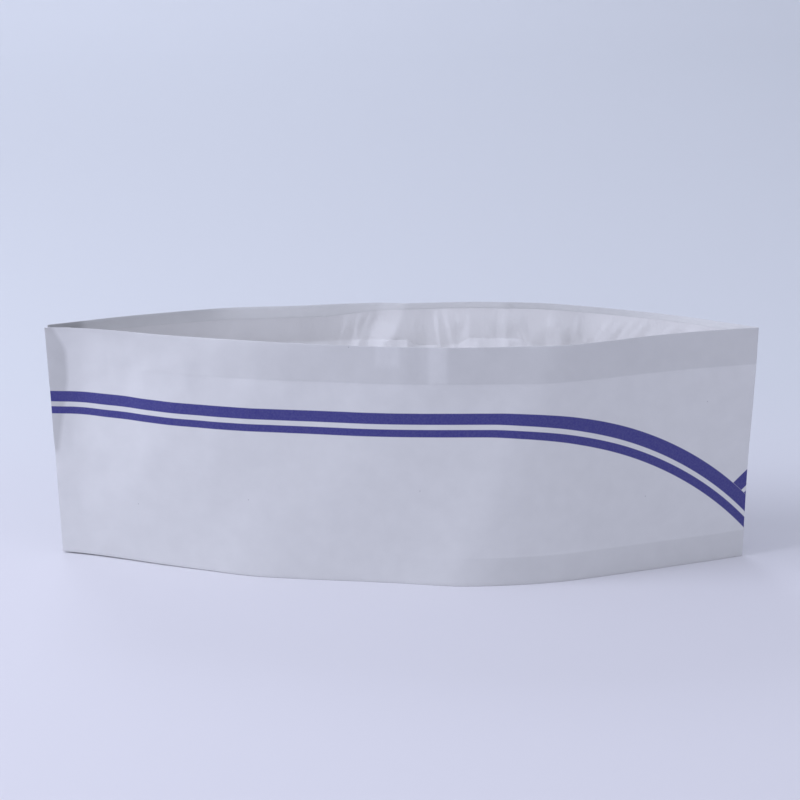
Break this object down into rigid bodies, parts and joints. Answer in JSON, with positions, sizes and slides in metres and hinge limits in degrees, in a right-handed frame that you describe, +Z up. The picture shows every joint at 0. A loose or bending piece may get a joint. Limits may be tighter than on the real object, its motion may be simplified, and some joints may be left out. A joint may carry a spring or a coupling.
{
  "type": "paper chef hat",
  "caption": "Flat-folding white paper kitchen hat with two blue stripes, standing open with its tissue crown pleated down inside.",
  "frame": {"origin": "on the surface that the hat stands on, under the middle of its box", "axes": "+X from the back seam to the front fold, +Y from the near panel to the far panel, +Z up to the rim"},
  "size_m": [0.2728, 0.0662, 0.095],
  "materials": {
    "band_paper": "white machine-glazed paper printed with two blue stripes",
    "crown_tissue": "thin creped white tissue"
  },
  "bodies": {
    "root": {"side_band": "band_paper", "crown_tissue": "crown_tissue"}
  },
  "joints": []
}
